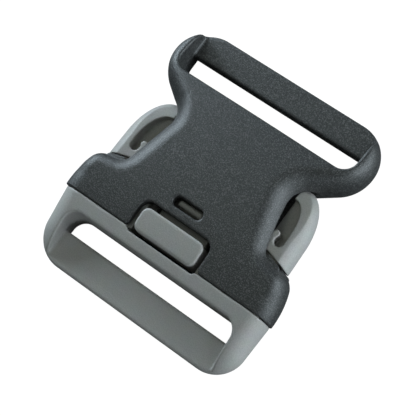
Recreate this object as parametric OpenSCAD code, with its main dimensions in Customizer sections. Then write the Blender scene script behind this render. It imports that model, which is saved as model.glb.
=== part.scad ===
/* [Overall] */
// Length of the socket, from the seam to its far end
socket_len = 57.1; // [54:0.1:62]
// Length of the plug's frame outside the socket
frame_len = 18.8; // [17.5:0.1:22]
// Gap between the socket's front face and the plug's frame
seam_gap = 0.25; // [0.15:0.05:0.5]
// Height of the arched top at its highest
arch_h = 16.5; // [15.5:0.1:18]
// Radius of the arched top, seen from the side
arch_r = 104; // [90:1:140]
// Distance from the seam to the top of the arch
arch_y = 21.6; // [18:0.2:25]
// Radius of the top's slight crown, seen from the front
crown_r = 800; // [400:20:2000]

/* [Socket] */
// Width across the shoulders at the seam
shoulder_w = 67.2; // [65:0.2:70]
// Radius of the shoulder's side, seen from above
shoulder_side_r = 26; // [22:1:34]
// Radius of the shoulder's corner
shoulder_corner_r = 4.9; // [4:0.1:5.5]
// Length of the shoulder, from the seam to its corner's top
shoulder_len = 13.1; // [12.5:0.1:14.5]
// Lean of the rim behind the shoulder, in degrees
rim_lean = 16; // [12:1:20]
// Width of the neck at its narrowest
neck_w = 39.8; // [38:0.2:41]
// Radius of the neck's hollow side
neck_r = 5.7; // [5:0.1:6.5]
// Length of the straight part between the neck and the loop
flare_len = 6.3; // [5.5:0.1:7]
// Lean of the straight part of the neck, in degrees
neck_lean = 14.4; // [12:0.2:16]
// Radius between the rim and the neck
rim_fillet_r = 1.7; // [1:0.1:2.4]
// How far the thin lip behind the rim lies in from the rim's widest line
lip_back = 0.15; // [0:0.05:0.3]
// Thickness of that lip
lip_t = 0.5; // [0.4:0.05:0.8]
// How far the floor reaches behind the rim, under the prong
floor_lip = 0.6; // [0.4:0.1:0.8]
// Thickness of the floor there
floor_lip_t = 1.4; // [1:0.1:1.6]
// How far the neck's rounded top reaches in
neck_round = 6.4; // [5:0.1:6.8]
// How far the shoulder's rounded top reaches in at the seam
shoulder_round = 5.5; // [4.5:0.1:6]
// Thickness of the floor
floor_t = 2.4; // [2:0.1:3]
// Height of the hollow between floor and roof
hollow_h = 9.95; // [9.6:0.05:10.1]
// Thickness of the side walls at the mouth
mouth_wall = 2.7; // [2.4:0.1:3.1]
// Thickness of the side walls in front of the latch faces
latch_wall = 6.3; // [6:0.1:6.6]
// Length of the straight part of the mouth, from the seam
mouth_len = 5; // [4:0.1:6]
// Length of the straight wall in front of each latch face
latch_wall_len = 3.5; // [3:0.1:4]

/* [Socket strap loop] */
// Width across the strap loop
loop_w = 64.3; // [62:0.1:66]
// Radius of the loop's corners beside the bar
loop_end_r = 10; // [9:0.1:10.8]
// Radius of the loop's corners beside the neck
loop_neck_r = 11.5; // [11:0.1:12]
// Length of the socket's strap slot, across the buckle
loop_slot_w = 56; // [54:0.2:56.6]
// Width of the socket's strap slot, along the buckle
loop_slot_gap = 6.6; // [5.5:0.1:7]
// Width of the socket's strap bar, along the buckle
loop_bar_d = 8.3; // [7.5:0.1:9]
// How far the loop's rounded top reaches in
loop_round = 4.1; // [3.5:0.1:4.5]
// How far it reaches in at the loop's far end
loop_end_round = 2.2; // [1.8:0.1:3]

/* [Strap bars] */
// Height of both strap bars' top face
bar_top = 5.8; // [5:0.1:6.5]
// Height of both strap bars' bottom face
bar_bottom = 1.6; // [1:0.1:2]
// Radius of the strap bars' long edges
bar_edge_r = 0.9; // [0.4:0.1:1.4]
// Radius of the strap slots' corners
slot_corner_r = 4; // [3:0.1:4.4]

/* [Plug frame] */
// How far the frame's side lies in from the shoulder's at the seam
frame_step = 0.55; // [0.1:0.05:1]
// How far each side of the frame draws in towards its end
frame_taper = 0.6; // [0.2:0.1:1.2]
// Radius of the frame's corners
frame_corner_r = 9; // [7:0.2:10]
// Length of the plug's strap slot, across the buckle
frame_slot_w = 54.7; // [53:0.1:56]
// Width of the plug's strap slot, along the buckle
frame_slot_gap = 5.3; // [4.8:0.1:6]
// Width of the plug's strap bar, along the buckle
frame_bar_d = 9.4; // [8.5:0.1:10]
// How far the frame's rounded top reaches in
frame_round = 5.3; // [4.5:0.1:5.8]

/* [Tongue and rails] */
// Length of the tongue inside the socket's mouth, from the seam
tongue_len = 2.4; // [2.2:0.1:2.6]
// Thickness of each centre rail
rail_t = 2.3; // [1.8:0.1:2.5]
// Distance from the seam to the far side of the web between the rails
rail_len = 27.2; // [27:0.1:29]
// Thickness of the web between the rails
web_t = 3; // [2.6:0.1:3.4]

/* [Prongs] */
// How far a prong's head lies in from the shoulder's side
prong_set = 4.25; // [4:0.05:4.6]
// Width of a prong's head
head_w = 9.65; // [9.2:0.05:9.95]
// Distance from the seam to a prong's tip
prong_len = 34.4; // [34:0.1:35]
// Length of the curve from a prong head's side to its tip
tip_curve_len = 14.2; // [12:0.1:15]
// How far a prong's tip lies in from its head's side
tip_in = 7.85; // [7.4:0.05:8.3]
// How far the head's rounded side reaches in
prong_round = 3.1; // [2.4:0.1:3.4]
// How far in it rounds off at the tip
prong_tip_round = 1.2; // [0.8:0.1:2]
// Width of a prong's arm
arm_w = 4; // [3.4:0.1:4.2]
// Distance from the seam to where an arm has its full width
arm_start = 6; // [5.5:0.1:7]
// How much lower an arm lies than the head's face
arm_drop = 1.4; // [1:0.1:1.8]
// How far the middle of a prong's root lies in from its arm's outer side
root_in = 1.85; // [1.5:0.05:2.2]
// Radius of a prong's round root
root_r = 2; // [1.8:0.1:2.2]
// Angle of the head's rounded side where it meets the flat faces
prong_side_a = 52; // [45:1:80]
// Depth of the pocket in each face of a prong's head
pocket_depth = 3.8; // [3:0.1:4]
// Width of the rim outside the pocket
pocket_rim = 4.6; // [4.2:0.1:4.8]
// Width of the rim beyond the pocket's far end
pocket_far_rim = 4.2; // [3.8:0.1:4.6]
// Radius of the pocket's round end
pocket_end_r = 1.35; // [1:0.05:1.5]
// Radius of the rounded finger that reaches into the pocket
finger_r = 0.95; // [0.7:0.05:1.1]

/* [Button] */
// Width of the push button
button_w = 19.4; // [18:0.1:19.8]
// Length of the push button, along the buckle
button_len = 6.8; // [6.4:0.1:7]
// How far the button stands above the arched top
button_rise = 0.3; // [0:0.1:0.5]
// Radius of the button's corners
button_r = 2; // [1.4:0.1:2.4]
// Width of the roof's notch round the button
notch_w = 22.4; // [22:0.1:23]
// Depth of the roof's notch, from the seam
notch_len = 8.4; // [8.2:0.1:9]
// Radius of the notch's inner corners
notch_r = 3; // [2:0.1:3.6]
// How much wider the roof's notch is at its mouth, on each side
notch_flare = 0.5; // [0.2:0.1:0.8]
// Depth of the notch in the plug's crossbar
crossbar_notch = 0.8; // [0.7:0.1:1.2]
// Width of the lever behind the button
lever_w = 15.4; // [14:0.1:17]
// Distance from the seam to the lever's hinge line
lever_len = 23.8; // [23.6:0.1:24]
// Radius of the lever's round root
lever_root_r = 1.5; // [1.3:0.1:1.6]
// Distance from the seam to the middle of the locking nub
nub_y = 12.5; // [12.4:0.1:12.8]
// Width of the locking nub, across the buckle
nub_w = 7.6; // [6:0.1:7.8]
// Thickness of the locking nub, along the buckle
nub_t = 1.7; // [1.4:0.1:1.8]
// Height of the locking nub's top
nub_top = 13.3; // [13.2:0.1:13.6]
// Length of the short slot over the nub
nub_slot_w = 9.2; // [8.8:0.1:10]
// Width of the short slot over the nub
nub_slot_d = 3; // [2.9:0.1:3.2]

/* [Fits] */
// Running clearance of every piece inside the socket
fit = 0.35; // [0.3:0.05:0.4]
// Clearance beyond a prong's tip
tip_fit = 0.6; // [0.4:0.05:1.5]
// Clearance of the round roots in their seats
root_fit = 0.2; // [0.15:0.05:0.25]

/* [Hidden] */

// Overshoot of a cutting shape past what it cuts
over = 1;
// Height that clears the whole part
clear_h = arch_h + 2 * over;

total_len = socket_len + seam_gap + frame_len;
front_y = -total_len / 2;
far_y = total_len / 2;
seam_y = far_y - socket_len;
frame_y = seam_y - seam_gap;

// Widths that follow the shoulder's width, and the hollow's length from the seam
mouth_w = shoulder_w - 2 * mouth_wall;
latch_w = shoulder_w - 2 * latch_wall;
frame_w = shoulder_w - 2 * frame_step;
prong_w = shoulder_w - 2 * prong_set;
prong_inner = prong_w / 2 - head_w;
tip_x = prong_w / 2 - tip_in;
hollow_len = prong_len + tip_fit;

roof_z = floor_t + hollow_h;
inner_bottom = floor_t + fit;
inner_top = roof_z - fit;
inner_mid = (inner_bottom + inner_top) / 2;

// Height of the widest line along the shoulders, the loop and the frame's two ends
shoulder_mid = 0.48 * arch_h;
loop_mid = 0.375 * arch_h;
frame_mid = 0.43 * arch_h;
frame_end_mid = 0.26 * arch_h;
// How far the rounded underside reaches in, and in at the loop
low_round = 3.6;
loop_low_round = 2.4;

// Height of the arched and slightly crowned top at x and y
function arch_at(x, y) =
    arch_h - arch_r + sqrt(pow(arch_r, 2) - pow(y - seam_y - arch_y, 2)) - x * x / (2 * crown_r);

// Points along an ellipse
function oval(c, rx, ry, a0, a1, n = 5) =
    [for (i = [0:n]) c + [rx * cos(a0 + (a1 - a0) * i / n), ry * sin(a0 + (a1 - a0) * i / n)]];

// The right half's points and the same points mirrored for the left half
function both_sides(right) =
    concat(right, [for (i = [len(right) - 1:-1:0]) [-right[i].x, right[i].y]]);

// Rows along an arc: place and direction into the part, which a hollow arc has outward
function arc_rows(c, r, a0, a1, n, inward = -1) =
    [for (i = [0:n]) let (a = a0 + (a1 - a0) * i / n)
        [c.x + r * cos(a), c.y + r * sin(a), inward * cos(a), inward * sin(a)]];
// All rows but the first
function rest(rows) = [for (i = [1:len(rows) - 1]) rows[i]];
// Rows between two others on a straight line
function line_rows(from, to, n) = [for (i = [1:n - 1]) from + (to - from) * i / n];

// Centres of the socket outline's arcs, each tangent to the next
side_c = [shoulder_w / 2 - shoulder_side_r, seam_y + over];
corner_rise = seam_y + shoulder_len - shoulder_corner_r - side_c.y;
corner_a = asin(corner_rise / (shoulder_side_r - shoulder_corner_r));
corner_c = side_c + (shoulder_side_r - shoulder_corner_r) * [cos(corner_a), sin(corner_a)];
loop_c = [loop_w / 2 - loop_neck_r, far_y - loop_end_r];
loop_end_c = [loop_w / 2 - loop_end_r, loop_c.y];
neck_x = neck_w / 2 + neck_r;
neck_span = norm([loop_neck_r + neck_r, flare_len]);
neck_drop = sqrt(pow(neck_span, 2) - pow(neck_x - loop_c.x, 2));
neck_c = [neck_x, loop_c.y - neck_drop];
neck_a = atan2(loop_c.y - neck_c.y, loop_c.x - neck_c.x) + atan(flare_len / (loop_neck_r + neck_r));
// Where the rim's line starts, where the neck's line ends and where they cross
rim_p = corner_c + shoulder_corner_r * [sin(rim_lean), cos(rim_lean)];
neck_p = neck_c - neck_r * [cos(neck_lean), sin(neck_lean)];
window_x = (rim_p.y + rim_p.x * tan(rim_lean) - neck_p.y - neck_p.x / tan(neck_lean))
    / (tan(rim_lean) - 1 / tan(neck_lean));
window_p = [window_x, rim_p.y + (rim_p.x - window_x) * tan(rim_lean)];
// Centre of the fillet between those two lines
fillet_turn = 90 - rim_lean - neck_lean;
fillet_c = window_p + rim_fillet_r * tan(fillet_turn / 2) * [cos(rim_lean), -sin(rim_lean)]
    + rim_fillet_r * [sin(rim_lean), cos(rim_lean)];

fillet_rows = arc_rows(fillet_c, rim_fillet_r, 270 - rim_lean, 180 + neck_lean, 4, 1);
neck_rows = arc_rows(neck_c, neck_r, 180 + neck_lean, neck_a, 10, 1);
loop_rows = arc_rows(loop_c, loop_neck_r, neck_a - 180, 0, 8);
socket_outline = concat(
    [[shoulder_w / 2, seam_y, -1, 0]],
    arc_rows(side_c, shoulder_side_r, 0, corner_a, 5),
    rest(arc_rows(corner_c, shoulder_corner_r, corner_a, 90 - rim_lean, 6)),
    fillet_rows,
    line_rows(fillet_rows[4], neck_rows[0], 3),
    neck_rows,
    line_rows(neck_rows[10], loop_rows[0], 2),
    loop_rows,
    rest(arc_rows(loop_end_c, loop_end_r, 0, 90, 9))
);

// Widest line's height and both roundings' reach, by distance from the seam
function socket_row(row) = let (d = row.y - seam_y) [
    lookup(d, [
        [0.6 * shoulder_len, shoulder_mid],
        [0.6 * hollow_len, (shoulder_mid + loop_mid) / 2],
        [hollow_len, loop_mid],
        [socket_len - loop_end_r, loop_mid],
        [socket_len - over, bar_top - bar_edge_r]
    ]),
    lookup(d, [
        [0.4 * shoulder_len, shoulder_round],
        [0.6 * shoulder_len, min(shoulder_round, shoulder_corner_r - 0.5)],
        [shoulder_len, min(shoulder_round, shoulder_corner_r - 0.5)],
        [shoulder_len + 3 * over, neck_round],
        [hollow_len - 5 * over, neck_round],
        [hollow_len + 7 * over, loop_round],
        [socket_len - loop_end_r, loop_round],
        [socket_len - over, loop_end_round]
    ]),
    lookup(d, [[shoulder_len, low_round], [hollow_len, loop_low_round]])
];

frame_side_x = frame_w / 2 - frame_taper;
frame_c = [frame_side_x - frame_corner_r, front_y + frame_corner_r];
frame_last = [frame_w / 2, frame_y, -1, 0];
frame_arc = arc_rows(frame_c, frame_corner_r, -90, 0, 10);
frame_outline = concat(frame_arc, line_rows(frame_arc[10], frame_last, 3), [frame_last]);

function frame_row(row) = [
    lookup(row.y, [[front_y, frame_end_mid], [frame_y, frame_mid]]),
    frame_round,
    low_round
];

// Places of the two strap slots, along the buckle
loop_slot_y = far_y - loop_bar_d - loop_slot_gap;
frame_slot_y = front_y + frame_bar_d + frame_slot_gap;

// The rim's line across x, and where the prong's latch face and tip lie
function rim_y(x) = rim_p.y + (rim_p.x - x) * tan(rim_lean);
latch_gap = fit / cos(rim_lean);
latch_y = seam_y + shoulder_len;
tip_y = seam_y + prong_len;
// Length over which a prong's head and the hollow draw in to their ends
tip_run = 1.3 * tip_curve_len;
root_y = seam_y + tongue_len + fit;
arm_outer = latch_w / 2 - 3 * fit;
root_x = arm_outer - root_in;

// Centre and half widths of the curve from the head's side to its tip
tip_c = [tip_x, tip_y - tip_curve_len];
tip_size = [prong_w / 2 - 0.5 * fit - tip_x, tip_curve_len];

// The pocket's outer wall and far end follow the tip's curve, pocket_rim inside it
pocket_x = prong_w / 2 - pocket_rim;
pocket_c = [pocket_x - pocket_end_r, rim_y(prong_w / 2) + latch_gap + pocket_rim + 0.8 * over];
pocket_far = [tip_x - 1.5 * over, tip_c.y];
finger_c = [pocket_c.x - pocket_end_r - 0.6 * finger_r, pocket_c.y + 1.1 * pocket_end_r];

hinge_y = seam_y + lever_len;
rail_x = button_w / 2 + 1.5 * fit;
guide_x = lever_w / 2 + 3 * fit;
lever_top = inner_mid + lever_root_r;

// A block over the whole part under the arched top, from y0 to y1
module arched(y0, y1) {
    intersection() {
        translate([-shoulder_w, y0, 0])
            cube([2 * shoulder_w, y1 - y0, clear_h]);
        translate([-shoulder_w, seam_y + arch_y, arch_h - arch_r])
            rotate([0, 90, 0])
                cylinder(r = arch_r, h = 2 * shoulder_w, $fn = 200);
    }
}

// Steps of a rounded edge below and above its widest line, as shares of its angle
edge_steps = [-1, -0.67, -0.39, -0.17, 0, 0.17, 0.36, 0.56, 0.78, 1];
// Steps in from the rounded edge over the crowned top, as shares of x
crown_steps = [0.67, 0.33];

// A point of the rounded body: row of the outline, its sizes and the step up its edge
function body_point(row, sizes, step) =
    let (
        t = 90 * step,
        inset = sizes[t > 0 ? 1 : 2] * (1 - cos(t)),
        x = row[0] + row[2] * inset,
        y = row[1] + row[3] * inset,
        top = arch_at(x, y)
    )
    [x, y, t > 0 ? sizes[0] + (top - sizes[0]) * sin(t) : sizes[0] * (1 + sin(t))];

// The levels of a body, each the right half's points from the bottom up
function body_levels(outline, sizes) =
    let (
        n = len(outline) - 1,
        edge = [for (t = edge_steps) [for (i = [0:n]) body_point(outline[i], sizes[i], t)]],
        rim = edge[len(edge) - 1]
    )
    concat(edge, [for (f = crown_steps) [for (p = rim) [f * p.x, p.y, arch_at(f * p.x, p.y)]]]);

// Joins levels of right-hand points to a solid, whose left side mirrors them or lies flat at x
module levels_body(right, x = undef) {
    half = len(right[0]);
    n = 2 * half;
    levels = len(right);
    points = [for (level = right) each concat(
        level,
        [for (i = [half - 1:-1:0]) [is_undef(x) ? -level[i].x : x, level[i].y, level[i].z]]
    )];
    sides = [for (k = [0:levels - 2], i = [0:n - 1])
        let (a = k * n + i, b = k * n + (i + 1) % n)
        each [[a, a + n, b + n], [a, b + n, b]]];
    bottom = [for (i = [0:half - 2]) [i, i + 1, n - 2 - i, n - 1 - i]];
    last = (levels - 1) * n;
    top = [for (i = [0:half - 2]) [last + i + 1, last + i, last + n - 1 - i, last + n - 2 - i]];
    polyhedron(points, concat(sides, bottom, top));
}

// A slot w across and gap along from y, round at the corners on its dir side
module slot_outline(w, gap, y, dir) {
    r = slot_corner_r;
    for (s = [-1, 1])
        translate([s * (w / 2 - r), y + dir * r])
            circle(r, $fn = 48);
    translate([-w / 2 + r, min(y, y + 2 * dir * r)])
        square([w - 2 * r, 2 * r]);
    translate([-w / 2, min(y + dir * r, y + dir * gap)])
        square([w, gap - r]);
}

// The section of a strap bar with rounded edges, whose outer side is left to the outline
module bar_section(y, depth, dir) {
    r = bar_edge_r;
    for (s = [0, depth - 2 * r], z = [bar_bottom + r, bar_top - r])
        translate([y + dir * (s + r), z])
            circle(r, $fn = 32);
    translate([min(y, y + dir * depth), bar_bottom + r])
        square([depth, bar_top - bar_bottom - 2 * r]);
    translate([min(y + dir * r, y + dir * (depth - r)), bar_bottom])
        square([depth - 2 * r, bar_top - bar_bottom]);
}

// The strap slot and the space over and under its bar, out past the end
module strap_cut(w, gap, bar_d, y, dir) {
    far = gap + bar_d + over;
    intersection() {
        translate([0, 0, -over])
            linear_extrude(clear_h)
                slot_outline(w, far, y, dir);
        translate([-w, 0, 0])
            rotate([90, 0, 90])
                linear_extrude(2 * w)
                    difference() {
                        translate([min(y, y + dir * far), -over])
                            square([far, clear_h]);
                        bar_section(y + dir * gap, bar_d, dir);
                    }
    }
}

module socket_outside() {
    levels_body(body_levels(socket_outline, [for (row = socket_outline) socket_row(row)]));
}

// The hollow: a mouth that narrows to the latch faces, opens to both windows behind them
// and draws in round the prongs' tips
module socket_hollow() {
    end = seam_y + hollow_len;
    run = tip_run + end - tip_y;
    rails_x = rail_x + rail_t + fit;
    side = [
        [mouth_w / 2, seam_y - over],
        [mouth_w / 2, seam_y + mouth_len],
        [latch_w / 2, latch_y - latch_wall_len],
        [latch_w / 2, latch_y],
        [shoulder_w / 2 + over, latch_y],
        [shoulder_w / 2 + over, end]
    ];
    intersection() {
        translate([0, 0, floor_t])
            linear_extrude(hollow_h)
                polygon(both_sides(side));
        union() {
            translate([-shoulder_w, 0, 0])
                rotate([90, 0, 90])
                    linear_extrude(2 * shoulder_w)
                        polygon(concat(
                            [[seam_y - 2 * over, roof_z], [seam_y - 2 * over, floor_t]],
                            oval([end - run, inner_mid], run, hollow_h / 2, -90, 90, 20)
                        ));
            translate([-rails_x, seam_y, floor_t])
                cube([2 * rails_x, rail_len + fit, hollow_h]);
        }
    }
}

// The thin lip that stands out behind the rim, over the prong
module rim_lip() {
    x0 = window_p.x - over / 2;
    x1 = rim_p.x - over;
    translate([0, 0, roof_z])
        linear_extrude(lip_t)
            polygon([
                [x0, rim_y(x0) - 2 * over],
                [x1 - over, rim_y(x1) - 2 * over],
                [x1, rim_y(x1) - over],
                [x1 - over / 2, rim_y(x1) - lip_back],
                [x0, rim_y(x0) - lip_back]
            ]);
}

// The floor's edge behind the rim, under the prong
module rim_floor_lip() {
    x0 = window_p.x - over / 2;
    x1 = rim_p.x + 0.3 * over;
    translate([0, 0, floor_t - floor_lip_t])
        linear_extrude(floor_lip_t)
            polygon([
                [x0, rim_y(x0) - 2 * over],
                [x1 - over, rim_y(x1) - 2 * over],
                [x1, rim_y(x1) + floor_lip / 3],
                [x1 - 0.4 * over, rim_y(x1) + floor_lip],
                [x0, rim_y(x0) + floor_lip]
            ]);
}

module button_notch() {
    r = notch_r;
    half = notch_w / 2;
    translate([0, 0, roof_z - over])
        linear_extrude(clear_h) {
            translate([-half, seam_y - over])
                square([notch_w, notch_len + over - r]);
            polygon([
                [half + notch_flare, seam_y],
                [half, seam_y + 2 * notch_flare],
                [-half, seam_y + 2 * notch_flare],
                [-half - notch_flare, seam_y],
                [-half - notch_flare, seam_y - over],
                [half + notch_flare, seam_y - over]
            ]);
            translate([-half + r, seam_y])
                square([notch_w - 2 * r, notch_len]);
            for (s = [-1, 1])
                translate([s * (half - r), seam_y + notch_len - r])
                    circle(r, $fn = 48);
        }
}

module nub_slot() {
    r = nub_slot_d / 2;
    span = nub_slot_w - nub_slot_d;
    translate([0, seam_y + nub_y - fit, roof_z - over])
        linear_extrude(clear_h) {
            translate([-span / 2, -r])
                square([span, nub_slot_d]);
            for (s = [-1, 1])
                translate([s * span / 2, 0])
                    circle(r, $fn = 48);
        }
}

module socket() {
    color([0.2, 0.22, 0.23])
        difference() {
            union() {
                socket_outside();
                for (s = [0, 1])
                    mirror([s, 0, 0]) {
                        rim_lip();
                        rim_floor_lip();
                    }
            }
            socket_hollow();
            strap_cut(loop_slot_w, loop_slot_gap, loop_bar_d, loop_slot_y, 1);
            button_notch();
            nub_slot();
        }
}

module frame_outside() {
    levels_body(body_levels(frame_outline, [for (row = frame_outline) frame_row(row)]));
}

// The ledge beside the lever, level with it, from behind the button to the web
module lever_ledge() {
    ledge_y = seam_y + button_len + 2 * fit;
    translate([guide_x, ledge_y, inner_bottom])
        cube([rail_x - guide_x + over, seam_y + rail_len - ledge_y, lever_top - inner_bottom]);
}

// The tongue in the mouth, the two rails and the web that carries the lever
module plug_inside() {
    tongue_x = mouth_w / 2 - fit;
    high = inner_top - inner_bottom;
    for (s = [0, 1])
        mirror([s, 0, 0]) {
            translate([rail_x, frame_y - over, inner_bottom])
                cube([tongue_x - rail_x, tongue_len + seam_gap + over, high]);
            translate([rail_x, frame_y - over, inner_bottom])
                cube([rail_t, rail_len + seam_gap + over, high]);
            lever_ledge();
        }
    translate([-rail_x - rail_t, seam_y + rail_len - web_t, inner_bottom])
        cube([2 * (rail_x + rail_t), web_t, high]);
}

// The upright seat of a prong's root
module prong_seat() {
    translate([root_x, root_y, 0])
        cylinder(r = root_r + root_fit, h = clear_h, $fn = 64);
}

// The level seat of the lever's root
module lever_seat() {
    translate([-guide_x, hinge_y, inner_mid])
        rotate([0, 90, 0])
            cylinder(r = lever_root_r + root_fit, h = 2 * guide_x, $fn = 64);
}

// The notch in the crossbar in front of the button, with sloping ends
module crossbar_notch_cut() {
    wide = rail_x + crossbar_notch;
    translate([0, frame_y, inner_bottom])
        linear_extrude(clear_h)
            polygon([
                [rail_x, -crossbar_notch],
                [wide, 0],
                [rail_x, over],
                [-rail_x, over],
                [-wide, 0],
                [-rail_x, -crossbar_notch]
            ]);
}

module plug() {
    color([0.5, 0.53, 0.53])
        difference() {
            union() {
                frame_outside();
                plug_inside();
            }
            strap_cut(frame_slot_w, frame_slot_gap, frame_bar_d, frame_slot_y, -1);
            crossbar_notch_cut();
            prong_seat();
            mirror([1, 0, 0])
                prong_seat();
            lever_seat();
        }
}

// The prong's outline: a round root, a slim arm and the head with its leaning latch face
module prong_outline() {
    arm_inner = arm_outer - arm_w;
    arm_y = seam_y + arm_start;
    far_x = prong_w / 2 + over;
    tip_inner = prong_inner + over / 2;
    polygon([
        [root_x + root_r - fit, root_y + over / 2],
        [arm_outer, arm_y],
        [arm_outer, rim_y(arm_outer) + latch_gap],
        [far_x, rim_y(far_x) + latch_gap],
        [far_x, tip_y + over],
        [tip_inner, tip_y + over],
        [tip_inner, tip_y - over / 2],
        [prong_inner, tip_y - 1.5 * over],
        [prong_inner, latch_y + 2.5 * over],
        [arm_inner, latch_y - 1.5 * over],
        [arm_inner, arm_y],
        [root_x - root_r + fit, root_y + over / 2]
    ]);
    translate([root_x, root_y])
        circle(root_r, $fn = 64);
}

// Rows along the head's outer side and round its tip, with the direction into the head
prong_rows = concat(
    [[prong_w / 2, seam_y - over, -1, 0], [prong_w / 2, latch_y, -1, 0]],
    [for (t = [0:7.5:90]) let (n = [cos(t) * tip_size.y, sin(t) * tip_size.x])
        [tip_c.x + tip_size.x * cos(t), tip_c.y + tip_size.y * sin(t), -n.x / norm(n), -n.y / norm(n)]]
);

// Half the head's height at y, which draws in to the tip
function prong_half(y) =
    let (u = max(0, y - tip_y + tip_run) / tip_run)
    (inner_top - inner_mid) * sqrt(max(0.001, 1 - u * u));

// What bounds the prong's rounded outer side and tip
module prong_limits() {
    a = prong_side_a;
    levels = [for (t = [-1:0.25:1]) [for (row = prong_rows)
        let (
            edge = lookup(row[1], [[tip_c.y + over, prong_round], [tip_y, prong_tip_round]]),
            inset = edge * (1 - cos(a * t)) / (1 - cos(a)),
            y = row[1] + row[3] * inset
        )
        [row[0] + row[2] * inset, y, inner_mid + prong_half(y) * sin(a * t) / sin(a)]]];
    levels_body(levels, 0);
}

// The pocket in the head's face, open on its inner side, beside a rounded finger
module pocket_outline() {
    open_x = prong_inner - over;
    left_x = pocket_c.x - pocket_end_r;
    far_size = [pocket_x - pocket_far.x, tip_size.y - pocket_far_rim];
    difference() {
        union() {
            polygon(concat(
                [[open_x, finger_c.y], [left_x, finger_c.y], [left_x, pocket_c.y]],
                [[pocket_x, pocket_c.y]],
                oval(pocket_far, far_size.x, far_size.y, 0, 90, 12),
                [[open_x, pocket_far.y + far_size.y]]
            ));
            translate(pocket_c)
                circle(pocket_end_r, $fn = 48);
        }
        translate(finger_c)
            circle(finger_r, $fn = 48);
    }
}

module prong_pockets() {
    for (z = [inner_top - pocket_depth, inner_bottom - over])
        translate([0, 0, z])
            linear_extrude(pocket_depth + over)
                pocket_outline();
}

// The space over an arm, up to the latch face
module arm_relief() {
    arm_inner = arm_outer - arm_w;
    far_x = prong_w / 2 + over;
    translate([0, 0, inner_top - arm_drop])
        linear_extrude(arm_drop + over)
            polygon([
                [0, seam_y],
                [far_x, seam_y],
                [far_x, rim_y(far_x) + latch_gap],
                [arm_inner, rim_y(arm_inner) + latch_gap],
                [0, latch_y]
            ]);
}

module prong() {
    difference() {
        intersection() {
            translate([0, 0, inner_bottom])
                linear_extrude(inner_top - inner_bottom)
                    prong_outline();
            prong_limits();
        }
        prong_pockets();
        arm_relief();
    }
}

module prong_right() {
    color([0.55, 0.58, 0.58])
        prong();
}

module prong_left() {
    color([0.55, 0.58, 0.58])
        mirror([1, 0, 0])
            prong();
}

// The push button, a little above the arched top
module button_block() {
    half = button_w / 2;
    r = button_r;
    intersection() {
        translate([0, seam_y, inner_mid - lever_root_r])
            linear_extrude(clear_h) {
                translate([-half, r])
                    square([button_w, button_len - 2 * r]);
                translate([-half + r, 0])
                    square([button_w - 2 * r, button_len]);
                for (x = [-half + r, half - r], y = [r, button_len - r])
                    translate([x, y])
                        circle(r, $fn = 48);
            }
        translate([0, 0, button_rise])
            arched(seam_y - over, seam_y + button_len + over);
    }
}

module lever() {
    bottom = inner_mid - lever_root_r;
    translate([-lever_w / 2, seam_y + button_len - over, bottom])
        cube([lever_w, lever_len - button_len + over, 2 * lever_root_r]);
    translate([-lever_w / 2, hinge_y, inner_mid])
        rotate([0, 90, 0])
            cylinder(r = lever_root_r, h = lever_w, $fn = 64);
    translate([-nub_w / 2, seam_y + nub_y - nub_t / 2, inner_mid])
        cube([nub_w, nub_t, nub_top - inner_mid]);
}

module button() {
    color([0.55, 0.58, 0.58])
        union() {
            button_block();
            lever();
        }
}

socket();
plug();
prong_left();
prong_right();
button();
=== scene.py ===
"""Looks of a fastened side release buckle.

Its five mouldings are signed fields in millimetres, below zero inside, made from the
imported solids' sizes. Each is sampled on a grid and turned into a fine mesh in metres.
+X runs across the buckle, +Y from the plug to the socket and +Z up."""

import math

import bpy
import numpy as np
from mathutils import Matrix, Vector


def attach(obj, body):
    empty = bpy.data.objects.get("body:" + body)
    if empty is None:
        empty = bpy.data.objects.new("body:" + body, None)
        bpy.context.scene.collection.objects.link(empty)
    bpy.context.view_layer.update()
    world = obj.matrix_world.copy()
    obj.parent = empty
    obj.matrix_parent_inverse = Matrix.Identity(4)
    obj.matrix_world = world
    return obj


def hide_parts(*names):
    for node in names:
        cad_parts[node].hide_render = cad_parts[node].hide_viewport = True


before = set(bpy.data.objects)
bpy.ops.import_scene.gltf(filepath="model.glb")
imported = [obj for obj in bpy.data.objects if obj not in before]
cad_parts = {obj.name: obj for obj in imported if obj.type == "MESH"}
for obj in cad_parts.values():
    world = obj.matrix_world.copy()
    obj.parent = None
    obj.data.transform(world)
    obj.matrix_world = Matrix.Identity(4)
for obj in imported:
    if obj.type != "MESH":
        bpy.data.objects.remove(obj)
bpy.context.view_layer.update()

MM = 0.001

# Sizes, in mm and degrees
# the two halves, and the seam between them
SOCKET_LEN, FRAME_LEN, SEAM_GAP = 57.1, 18.8, 0.25
# the arched top: height and radius, how far its crown lies behind the seam, radius across
ARCH_H, ARCH_R, ARCH_Y, CROWN_R = 16.5, 104.0, 21.6, 800.0
# how far in the lower edges round off
LOW_ROUND, LOOP_LOW_ROUND = 3.6, 2.4
# the socket's shoulders
SHOULDER_W, SHOULDER_SIDE_R, SHOULDER_CORNER_R, SHOULDER_LEN = 67.2, 26.0, 4.9, 13.1
SHOULDER_SIDE_Y, SHOULDER_ROUND = 1.0, 5.5
# the finger windows' leaning rims, and the lips behind them in the roof and in the floor
RIM_LEAN, RIM_FILLET_R = 16.0, 1.7
LIP_BACK, LIP_T, LIP_DEPTH, LIP_ROOT, LIP_BEVEL = 0.15, 0.5, 0.6, 3.0, 0.5
FLOOR_LIP, FLOOR_LIP_T, FLOOR_LIP_BEVEL = 0.6, 1.4, 0.4
# how far the lips start inside the window's corner, and end before or past the rim's end
LIP_START, LIP_SHORT, FLOOR_LIP_LONG = 0.5, 0.9, 0.3
# the waist, and its flare to the loop
NECK_W, NECK_R, NECK_LEAN, NECK_ROUND, FLARE_LEN = 39.8, 5.7, 14.4, 6.4, 6.3
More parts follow.
